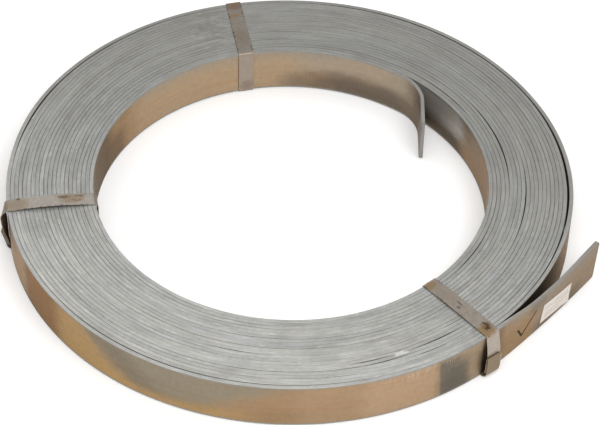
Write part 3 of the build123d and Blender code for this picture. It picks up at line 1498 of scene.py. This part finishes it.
        bend_reach = self.bore - middle - self.inner_radius
        bend_centre = self.second_centre() + plan_direction(np.array(self.inner_angle)) * bend_reach
        run_angle = self.inner_angle - self.inner_turn
        bend_angles = np.linspace(run_angle, self.inner_angle, self.bend_steps)[:-1]
        bend = bend_centre + plan_direction(bend_angles) * (self.inner_radius + middle)
        run_along = np.linspace(self.tip_round, self.inner_run, self.run_steps)[1:-1]
        run_back = self.inner_run - np.concatenate((self.tip_distances(), run_along))
        run = bend[0] - plan_direction(np.array(run_angle + 90.0)) * run_back[:, None]

        tail_along = np.linspace(0.0, self.outer_length - self.tip_round, self.tail_steps)[:-1]
        tail_along = np.concatenate((tail_along, self.outer_length - self.tip_distances()[::-1]))
        tail_angles = self.outer_angle + np.degrees(tail_along / self.outer_radius)
        tail = self.outer_centre() + plan_direction(tail_angles) * (self.outer_radius + middle)

        points = np.concatenate((run, bend, spiral, tail))
        facing = np.concatenate((np.full(len(run), run_angle), bend_angles, turn, tail_angles))
        length = np.concatenate(((0.0,), np.cumsum(np.linalg.norm(np.diff(points, axis=0), axis=1))))
        inner = length[:len(run) + len(bend)] - length[len(run) + len(bend)]
        turn_all = np.concatenate((
            self.inner_angle + np.degrees(inner / self.bore),
            turn,
            self.outer_angle + np.degrees(tail_along / self.outer_lap()),
        ))
        return PlanLine(points, facing, turn_all, length - length[-len(tail)])

    def build(self) -> bpy.types.Object:
        """Sweeps the bar's section along its line.

        The height of each lap drifts, its two edges lean a little, and the tips are rounded.

        Returns:
            The piece.
        """
        line = self.line()
        section, normals = BarSection(self.wide, self.thick, self.edge_drop, self.edge_round).outline()
        height = self.bottom + self.wide / 2.0 + self.lifted + self.lift.at(line.turn)
        points = np.column_stack((line.points, height))
        outward = np.column_stack((plan_direction(line.facing), np.zeros(len(points))))
        upward = np.zeros_like(outward)
        upward[:, 2] = 1.0
        sweep = Sweep(points, upward, outward, section, normals)
        grid = sweep.grid()
        slope = self.slope.at(line.turn)
        grid[:, :, 2] += slope[:, None] * section[:, 1]
        # The tips' corners are quarter circles cut from the upper and the lower edge
        from_tip = np.minimum(line.along - line.along[0], line.along[-1] - line.along)
        into_tip = np.clip(self.tip_round - from_tip, 0.0, None)
        trim = self.tip_round - np.sqrt(np.clip(self.tip_round**2 - into_tip**2, 0.0, None))
        grid[:, :, 2] -= trim[:, None] * np.sign(section[:, 0])
        # The outer end's lean grows in proportion to the height
        across = section[:, 0] / self.wide + 0.5
        grid += outward[:, None, :] * (self.lean(line.along)[:, None] * across)[:, :, None]
        tilt = slope[:, None] * normals[:, 0]
        leaning = sweep.grid_normals() - outward[:, None, :] * tilt[:, :, None]
        leaning /= np.linalg.norm(leaning, axis=2, keepdims=True)
        marks = {
            Mark.TURN: line.turn[:, None],
            Mark.ALONG: line.along[:, None] * MM,
            Mark.ACROSS: across[None, :],
            Mark.DEEP: section[None, :, 1] / self.thick + 0.5,
            Mark.EDGE: normals[None, :, 0] ** 2,
        }
        layout = self.texture().place(line, section)
        return Surface("wound_strip", grid, leaning, marks, layout).build()

    def add(self) -> None:
        """Builds and dresses the strip."""
        dress(self.build(), self.node, self.finish.material())

    def texture(self) -> TextureLayout:
        """Lists the strip's sides: both edges, the walls in sight, then the hidden faces.

        Returns:
            The layout.
        """
        first_turn = self.inner_angle + self.seen_turn
        last_turn = self.outer_angle - self.seen_turn
        past_inner = self.inner_angle + self.seen_inner
        past_outer = self.outer_angle - self.seen_outer
        hidden = self.hidden_scale
        return TextureLayout((
            Ribbon(Side.UPPER_EDGE),
            Ribbon(Side.LOWER_EDGE),
            Ribbon(Side.OUTER, start=last_turn),
            Ribbon(Side.INNER, end=first_turn),
            Ribbon(Side.OUTER, end=past_inner),
            Ribbon(Side.INNER, start=past_outer),
            Ribbon(Side.OUTER, past_inner, last_turn, hidden),
            Ribbon(Side.INNER, first_turn, past_outer, hidden),
        ))


@dataclass
class TieStrap:
    """A strap round the coil's wall, closed by a lock seam of two hooked ends.

    Attributes:
        node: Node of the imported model.
        finish: Its finish.
        angle: Angle in plan.
        centre: Centre of the coil's walls there.
        inside: Radius of the bore wall.
        outside: Radius of the outer wall.
        stand_off: How far the seam's inner layer stands off the wall.
        layer: Pitch of the seam's layers.
        seam_height: Height of the seam's top above the coil's lower edge.
        twist: Turn of the seam, its clockwise edge outward, or the other one if negative.
        skew: Sideways place at the bore wall and at the outer wall.
        hang: Heights where the twist starts, is full, starts to fade and ends.
        belly: How far the strap bulges at mid height, as an arc from edge to edge.
        lip_shift: Sideways place of the lower end against the upper one.
        foot_round: Radius of the lower end's bend at the floor.
        bore_bow: How far the strap bows off the bore wall at mid height.
        rise: How far the middle of the upper run stands off the coil.
        shoulders: How far the band stands out past the bore wall and the outer wall at the top.
        shoulder_round: Radius of its bends there.
        bore_round: Radius of its bend at the bore wall's foot.
        seam_foot: Height of the seam's lower end above the coil's lower edge.
        tuck_gap: Room between the tip of a hem and the fold that it lies in.
        fold_share: Radius of the seam's folds, as a share of the layers' pitch.
        knee_above: Height above the seam where the band turns towards the coil's upper edge.
        knee_round: Radius of that turn.
        twist_reach: Distance inside the outer wall over which the twist sets in.
        lip_reach: Distance inside it over which the lower end shifts sideways.
        corner: Reach of the band's rounded corners.
        wide: Width of the band.
        thick: Its thickness.
        seat: Distance of its middle from the coil.
        bottom: Height of the coil's lower edge.
        top: Height of its upper edge.
        arc_steps: Steps along each bend.
        run_step: About the length of a step between bends.
    """

    node: str
    finish: StrapFinish
    angle: float
    centre: np.ndarray
    inside: float
    outside: float
    stand_off: float
    layer: float
    seam_height: float
    twist: float
    skew: Span
    hang: tuple[float, float, float, float] = (51.0, 21.0, -10.0, -20.0)
    belly: float = 0.0
    lip_shift: float = 0.0
    foot_round: float = 3.4
    bore_bow: float = 0.0
    rise: float = 0.0
    shoulders: Span = (0.0, 0.0)
    shoulder_round: float = 1.1
    bore_round: float = 1.1
    seam_foot: float = 5.0
    tuck_gap: float = 1.0
    fold_share: float = 0.96
    knee_above: float = 4.0
    knee_round: float = 30.0
    twist_reach: float = 22.0
    lip_reach: float = 40.0
    corner: float = 0.25
    wide: float = 16.0
    thick: float = 0.8
    seat: float = 0.55
    bottom: float = 0.95
    top: float = 50.95
    arc_steps: int = 8
    run_step: float = 2.0

    def path(self) -> np.ndarray:
        """Lays the band's middle line, as pairs of radius and height.

        It starts at the tip of the upper end's hem, goes over the coil, down through the bore
        and under the coil, and ends at the tip of the lower end's hem.

        Returns:
            The points.
        """
        seam = self.outside + self.stand_off
        seam_top = self.bottom + self.seam_height
        seam_bottom = self.bottom + self.seam_foot
        tuck = self.layer + self.tuck_gap
        knee = seam_top + self.knee_above
        over, under = self.top + self.seat, self.bottom - self.seat
        bore_side = math.sqrt(self.inside**2 - self.wide**2 / 4.0) - self.seat
        edge = self.outside + self.seat
        corners = np.array((
            (seam + 2.0 * self.layer, seam_top - tuck),
            (seam + 2.0 * self.layer, seam_bottom),
            (seam, seam_bottom),
            (seam, knee),
            (edge + self.shoulders[1], over),
            (bore_side - self.shoulders[0], over),
            (bore_side, under),
            (seam + 3.0 * self.layer, under),
            (seam + 3.0 * self.layer, seam_top),
            (seam + self.layer, seam_top),
            (seam + self.layer, seam_bottom + tuck),
        ))
        fold = self.fold_share * self.layer
        shoulder = self.shoulder_round
        bends = (self.knee_round, shoulder, shoulder, self.bore_round, self.foot_round)
        radii = (fold, fold, *bends, fold, fold)
        path = rounded_path(corners, radii, self.arc_steps, self.run_step)
        swell = np.sin(np.pi * np.clip(path[:, 1] / over, 0.0, 1.0))
        path[:, 0] += self.belly * swell * (path[:, 0] > self.outside)
        path[:, 0] -= self.bore_bow * swell * (path[:, 0] < self.inside)
        crossing = np.clip((path[:, 0] - bore_side) / (edge - bore_side), 0.0, 1.0)
        path[:, 1] += self.rise * np.sin(np.pi * crossing) * (path[:, 1] > self.top)
        return path

    def build(self) -> bpy.types.Object:
        """Sweeps the band along its line, skewed across the coil and twisted at the seam.

        The twist turns the band about the upright line of the edge that stays at the wall. It
        grows from nothing at the coil's upper edge and may fade again towards the floor.

        Returns:
            The piece.
        """
        path = self.path()
        radius, height = path[:, 0], path[:, 1]
        start, full, fade, end = self.hang
        share = ease(start, full, height) * ease(end, fade, height)
        twist = self.twist * share * ease(self.outside - self.twist_reach, self.outside, radius)
        lateral_share = (radius - self.inside) / (self.outside - self.inside)
        lateral = self.skew[0] + (self.skew[1] - self.skew[0]) * lateral_share
        lower_end = np.arange(len(path)) > np.argmin(radius)
        towards_lip = ease(self.outside - self.lip_reach, self.outside, radius)
        lateral = lateral + self.lip_shift * lower_end * towards_lip
        radial_way = plan_direction(np.array(self.angle))
        side_way = plan_direction(np.array(self.angle + 90.0))
        reach = radius + 0.5 * self.wide * np.abs(np.sin(np.radians(twist)))
        plan = self.centre + radial_way * reach[:, None] + side_way * lateral[:, None]
        points = np.column_stack((plan, height))
        level = np.zeros((len(points), 1))
        first = np.concatenate((plan_direction(self.angle + 90.0 + twist), level), axis=1)
        turned = np.concatenate((plan_direction(self.angle + twist), level), axis=1)
        way = np.gradient(path, axis=0)
        way /= np.linalg.norm(way, axis=1, keepdims=True)
        second = -turned * way[:, 1:]
        second[:, 2] += way[:, 0]
        section, normals = BarSection(self.wide, self.thick, self.corner, self.corner).outline()
        sweep = Sweep(points, first, second, section, normals)
        length = np.concatenate(((0.0,), np.cumsum(np.linalg.norm(np.diff(path, axis=0), axis=1))))
        # The finish measures along the band from the coil's outer upper edge
        outer_corner = int(np.argmax(radius * 0.2 + height * (radius > self.outside - 1.0)))
        marks = {
            Mark.ALONG: (length - length[outer_corner])[:, None] * MM,
            Mark.ACROSS: section[None, :, 0] / self.wide + 0.5,
        }
        return Surface(self.node + "_band", sweep.grid(), sweep.grid_normals(), marks).build()

    def add(self) -> None:
        """Builds and dresses the strap."""
        dress(self.build(), self.node, self.finish.material(self.node))


def tie_straps(strip: WoundStrip) -> tuple[TieStrap, ...]:
    """Lists the three straps, each with its own lean and stains.

    Args:
        strip: The strip that they tie.

    Returns:
        The straps.
    """
    first_outside = strip.bore + strip.lap * (strip.full_turns() + 1)
    rear = StrapFinish(linear(142, 135, 126), linear(164, 151, 138), (
        Blot(22.0, 0.6, 3.0, 0.5, OCHRE, 0.6),
        Blot(5.0, 0.4, 8.0, 0.8, BROWN_RUST, 0.55),
        Blot(60.0, 0.5, 14.0, 0.5, BROWN_RUST, 0.25),
        Blot(128.0, 0.4, 7.0, 0.5, BROWN_RUST, 0.35),
    ), rim=0.95)
    left = StrapFinish(linear(173, 167, 159), linear(150, 142, 132), (
        Blot(9.0, 0.55, 12.0, 0.6, OCHRE, 0.5),
        Blot(11.0, 0.08, 2.0, 0.12, DARK_RUST_AND_SHADE, 0.7),
        Blot(62.0, 0.40, 12.0, 0.45, OCHRE, 0.55),
        Blot(56.0, 0.28, 7.0, 0.13, DARK_RUST_AND_SHADE, 0.6),
        Blot(71.0, 0.20, 6.0, 0.10, DARK_RUST_AND_SHADE, 0.55),
        Blot(66.0, 0.60, 6.0, 0.10, BROWN_RUST, 0.5),
        Blot(-30.0, 0.5, 9.0, 0.9, BROWN_RUST, 0.6),
    ))
    front = StrapFinish(linear(151, 142, 132), linear(178, 166, 154), (
        Blot(5.0, 0.35, 8.0, 0.6, OCHRE, 0.8),
        Blot(9.0, 0.60, 6.0, 0.34, BROWN_RUST, 0.7),
        Blot(7.0, 0.55, 2.4, 0.18, DARK_RUST_AND_SHADE, 0.95),
        Blot(10.5, 0.68, 3.4, 0.10, DARK_RUST_AND_SHADE, 0.8),
        Blot(13.0, 0.66, 2.0, 0.08, DARK_RUST_AND_SHADE, 0.8),
        Blot(82.0, 0.35, 5.0, 0.5, OCHRE, 0.7),
        Blot(46.0, 0.62, 5.0, 0.05, DARK_RUST_AND_SHADE, 0.75),
        Blot(43.0, 0.35, 2.2, 0.12, DARK_RUST_AND_SHADE, 0.6),
        Blot(-26.0, 0.5, 1.2, 0.9, DARK_RUST_AND_SHADE, 0.5),
        Blot(240.0, 0.5, 22.0, 2.0, LIP_TAN, 0.85, 0.2),
    ))
    return (
        TieStrap(
            "strap_rear", rear, angle=strip.split, centre=np.zeros(2), inside=strip.bore,
            outside=first_outside, stand_off=0.8, layer=1.1, seam_height=24.0, twist=2.0,
            skew=(2.7, -1.6), belly=0.5, bore_bow=0.7,
        ),
        TieStrap(
            "strap_left", left, angle=191.0, centre=np.zeros(2), inside=strip.bore,
            outside=first_outside, stand_off=0.5, layer=0.9, seam_height=25.0, twist=-22.0,
            skew=(1.5, -1.9), hang=(55.0, 42.0, 35.0, 2.0), foot_round=6.0, bore_bow=0.8, rise=2.8,
            shoulders=(1.5, 1.5), shoulder_round=4.0,
        ),
        TieStrap(
            "strap_front", front, angle=312.2, centre=strip.second_centre(),
            inside=strip.bore + strip.lap / 2.0, outside=strip.outer_lap() + strip.lap, stand_off=3.4,
            layer=0.9, seam_height=25.5, twist=-4.0, skew=(2.2, 1.0), belly=0.8, lip_shift=-2.0,
            foot_round=7.0, rise=1.2,
        ),
    )


@dataclass
class PaperLabel:
    """A paper label stuck on the outer face of the free outer end.

    Attributes:
        strip: The strip.
        length: Length of the label.
        root_height: Its height at the end nearer to the coil.
        tip_height: Its height at the other end.
        thick: Thickness of the paper.
        middle: Place of its middle along the outer end.
        above: Height of its middle above the strip's lower edge.
        fall: How far its middle line falls from one end to the other.
        glue: Gap that the glue leaves.
        curl: How far its lower corner has come off.
        curl_share: Share of the label's length that the curl takes up along its lower edge.
        along_steps: Points along the label.
        up_steps: Points up each face.
        node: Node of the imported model.
        finish: Its finish.
    """

    strip: WoundStrip
    length: float = 47.0
    root_height: float = 27.0
    tip_height: float = 26.0
    thick: float = 0.2
    middle: float = 73.0
    above: float = 19.0
    fall: float = 5.0
    glue: float = 0.12
    curl: float = 1.0
    curl_share: float = 0.4
    along_steps: int = 41
    up_steps: int = 13
    node: str = "label"
    finish: PaperFinish = PaperFinish()

    def build(self) -> bpy.types.Object:
        """Bends a thin sheet round the outer end's arc, with one corner curled off it.

        The sheet's points lie at (along the arc, up) = (s, middle line + share of the height),
        and the curl lifts them by the square of the distance into the corner.

        Returns:
            The piece.
        """
        along_share = np.linspace(0.0, 1.0, self.along_steps)
        up_share = np.linspace(1.0, -1.0, self.up_steps) / 2.0
        front = np.full(self.up_steps, 0.5)
        section = np.concatenate((
            np.column_stack((up_share, front)),
            np.column_stack((up_share[::-1], -front)),
        ))
        along = self.middle + (along_share - 0.5) * self.length
        angles = self.strip.outer_angle + np.degrees(along / self.strip.outer_radius)
        face = self.strip.outer_radius + (self.strip.lap + self.strip.thick) / 2.0 + self.glue
        flat_share = 1.0 - self.curl_share
        corner = np.clip(along_share[:, None] - flat_share - section[:, 0] - 0.5, 0.0, None)
        tall = self.root_height + (self.tip_height - self.root_height) * along_share
        line = self.above - self.fall * (along_share - 0.5)
        above = line[:, None] + tall[:, None] * section[:, 0]
        lifted = self.curl * (corner / self.curl_share) ** 2
        out = face + self.thick * (section[:, 1] + 0.5) + lifted
        out += self.strip.lean(along)[:, None] * above / self.strip.wide
        way = plan_direction(angles)[:, None, :]
        grid = np.empty((len(along_share), len(section), 3))
        grid[:, :, :2] = self.strip.outer_centre() + way * out[:, :, None]
        grid[:, :, 2] = self.strip.bottom + above
        facing = np.zeros_like(grid)
        facing[:, :, :2] = way * np.sign(section[:, 1:])
        marks = {
            Mark.ALONG: along_share[:, None],
            Mark.ACROSS: section[None, :, 0] + 0.5,
            Mark.DEEP: section[None, :, 1] + 0.5,
        }
        return Surface("paper_label", grid, facing, marks).build()

    def add(self) -> None:
        """Builds and dresses the label."""
        dress(self.build(), self.node, self.finish.material())


@dataclass(frozen=True)
class PhotoCamera:
    """Camera at the photograph's viewing angle.

    Attributes:
        place: Where it stands, in millimetres.
        turn: Its turn about X, Y and Z.
        lens: Focal length for the sensor's width.
        sensor: Width of the sensor.
    """

    place: tuple[float, float, float] = (-0.25, -1675.5, 1605.1)
    turn: tuple[float, float, float] = (46.26, -1.139, 0.729)
    lens: float = 137.61
    sensor: float = 36.0

    def build(self) -> None:
        """Adds the camera and makes it the scene's."""
        data = bpy.data.cameras.new("photo_camera")
        data.lens = self.lens
        data.sensor_width = self.sensor
        data.sensor_fit = "HORIZONTAL"
        camera = bpy.data.objects.new("photo_camera", data)
        camera.location = [part * MM for part in self.place]
        camera.rotation_euler = [math.radians(part) for part in self.turn]
        bpy.context.scene.collection.objects.link(camera)
        bpy.context.scene.camera = camera


@dataclass(frozen=True)
class Studio:
    """Pale floor, soft sky and one large soft lamp.

    Attributes:
        floor_size: Side of the floor in metres.
        floor_colour: Colour of the floor.
        floor_glow: Share of white that the viewer and reflections see on the floor.
        floor_rough: Roughness of the floor.
        sky_high: Sky overhead.
        sky_low: Sky at the horizon.
        sky_rise: Heights between which it goes from one to the other.
        lamp_power: Power of the lamp in watts.
        lamp_size: Side of the lamp in metres.
        lamp_place: Where it stands, in metres.
    """

    floor_size: float = 8.0
    floor_colour: Colour = linear(236, 236, 236)
    floor_glow: float = 0.2
    floor_rough: float = 0.9
    sky_high: Colour = (1.1, 1.1, 1.1)
    sky_low: Colour = (0.3, 0.3, 0.3)
    sky_rise: Span = (0.25, 0.95)
    lamp_power: float = 28.0
    lamp_size: float = 1.6
    lamp_place: tuple[float, float, float] = (0.4, -1.2, 2.0)

    def build(self) -> None:
        """Adds floor, sky and lamp."""
        self._floor()
        self._sky()
        self._lamp()

    def _floor(self) -> None:
        """Adds the floor, a square in the plane of the coil's feet."""
        half = self.floor_size / 2.0
        mesh = bpy.data.meshes.new("floor")
        corners = [(-half, -half, 0.0), (half, -half, 0.0), (half, half, 0.0), (-half, half, 0.0)]
        mesh.from_pydata(corners, [], [(0, 1, 2, 3)])
        floor = bpy.data.objects.new("floor", mesh)
        bpy.context.scene.collection.objects.link(floor)
        material, graph = new_material("floor_paper")
        seen = graph.ray("Is Camera Ray").most(graph.ray("Is Glossy Ray"))
        seen = seen.most(graph.ray("Is Transmission Ray"))
        glow = graph.mix(seen, (0.0, 0.0, 0.0), (self.floor_glow,) * 3)
        graph.surface({
            "Base Color": (*self.floor_colour, 1.0),
            "Roughness": self.floor_rough,
            "Emission Color": glow,
            "Emission Strength": 1.0,
        })
        mesh.materials.append(material)

    def _sky(self) -> None:
        """Adds the sky: grey at the horizon, lighter overhead, white where it is seen."""
        world = bpy.data.worlds.new("studio_sky")
        bpy.context.scene.world = world
        world.use_nodes = True
        graph = Graph(world.node_tree)
        way = graph.node("ShaderNodeTexCoord", {}, {}, "Generated")
        up = graph.node("ShaderNodeSeparateXYZ", {}, {"Vector": way}, "Z")
        sky = graph.mix(up.ease(*self.sky_rise), self.sky_low, self.sky_high)
        shown = graph.mix(graph.ray("Is Camera Ray"), sky, (1.0, 1.0, 1.0))
        light = graph.node("ShaderNodeBackground", {}, {"Color": shown, "Strength": 1.0})
        graph.node("ShaderNodeOutputWorld", {}, {"Surface": light})

    def _lamp(self) -> None:
        """Adds the lamp, aimed at the origin."""
        data = bpy.data.lights.new("soft_lamp", "AREA")
        data.energy = self.lamp_power
        data.size = self.lamp_size
        lamp = bpy.data.objects.new("soft_lamp", data)
        lamp.location = self.lamp_place
        away = -np.array(self.lamp_place)
        flat = math.hypot(away[0], away[1])
        turned = math.atan2(away[1], away[0]) - math.pi / 2.0
        lamp.rotation_euler = (math.atan2(flat, -away[2]), 0.0, turned)
        bpy.context.scene.collection.objects.link(lamp)


def main() -> None:
    """Builds the studio and the pieces in order and notes the sizes."""
    logging.basicConfig(level=logging.INFO, format="%(message)s")
    bpy.context.scene.view_settings.view_transform = "Standard"
    PhotoCamera().build()
    Studio().build()
    strip = WoundStrip()
    for assembly in (strip, *tie_straps(strip), PaperLabel(strip)):
        assembly.add()


if __name__ == "__main__":
    main()
